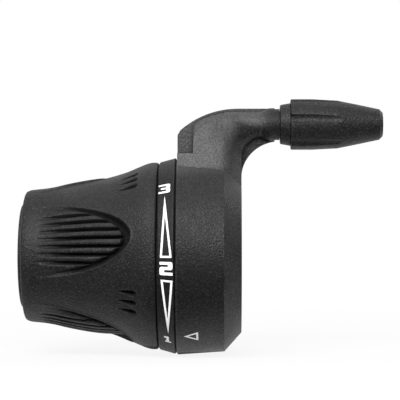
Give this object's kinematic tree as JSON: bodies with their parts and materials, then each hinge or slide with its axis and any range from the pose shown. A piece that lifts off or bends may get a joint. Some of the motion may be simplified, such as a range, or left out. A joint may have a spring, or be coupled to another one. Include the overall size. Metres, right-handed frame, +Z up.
{
  "type": "bicycle twist grip gear shifter",
  "caption": "Twist-grip bicycle gear shifter: ribbed rubber grip, numbered dial ring, bar clamp housing and an elbow arm that carries a fluted barrel cable adjuster.",
  "frame": {"origin": "on the handlebar axis, 8 mm inside the clamp end of the housing", "axes": "+X along the bar from the grip to the cable adjuster, +Z up to the elbow arm, the front of the dial faces -Y"},
  "size_m": [0.087, 0.0476, 0.0616],
  "materials": {
    "housing_plastic": "fine grained, satin",
    "dial_plastic": "satin",
    "grip_rubber": "matte",
    "knob_plastic": "satin",
    "acetal_plastic": "smooth",
    "spring_steel": "bright",
    "screw_steel": "zinc plated",
    "bush_brass": "turned"
  },
  "bodies": {
    "housing": {"housing": "housing_plastic", "end_ring": "housing_plastic", "thrust_washer": "acetal_plastic", "detent_spring": "spring_steel", "clamp_bolt": "screw_steel", "clamp_washer": "screw_steel", "clamp_nut": "screw_steel", "cable_guide": "acetal_plastic", "adjuster_insert": "bush_brass"},
    "grip": {"rotor": "dial_plastic", "grip_cover": "grip_rubber"},
    "adjuster_collar": {"click_collar": "knob_plastic", "adjuster_spring": "spring_steel"},
    "adjuster": {"adjuster_knob": "knob_plastic", "adjuster_screw": "bush_brass"}
  },
  "joints": [
    {"name": "grip_twist", "type": "hinge", "parent": "housing", "child": "grip", "pos_m": [0, 0, 0], "axis": [1, 0, 0], "range_deg": [0, 96], "deforming": ["detent_spring"]},
    {"name": "adjuster_turn", "type": "hinge", "parent": "housing", "child": "adjuster_collar", "pos_m": [0, -0.0015, 0.03175], "axis": [1, 0, 0], "range_deg": [0, 1440]},
    {"name": "adjuster_travel", "type": "slide", "parent": "adjuster_collar", "child": "adjuster", "axis": [1, 0, 0], "range_m": [0, 0.0032], "deforming": ["adjuster_spring"]}
  ],
  "couplings": [
    {"joint": "adjuster_turn", "follows": "adjuster_travel", "rad_per_m": 7853.9}
  ]
}
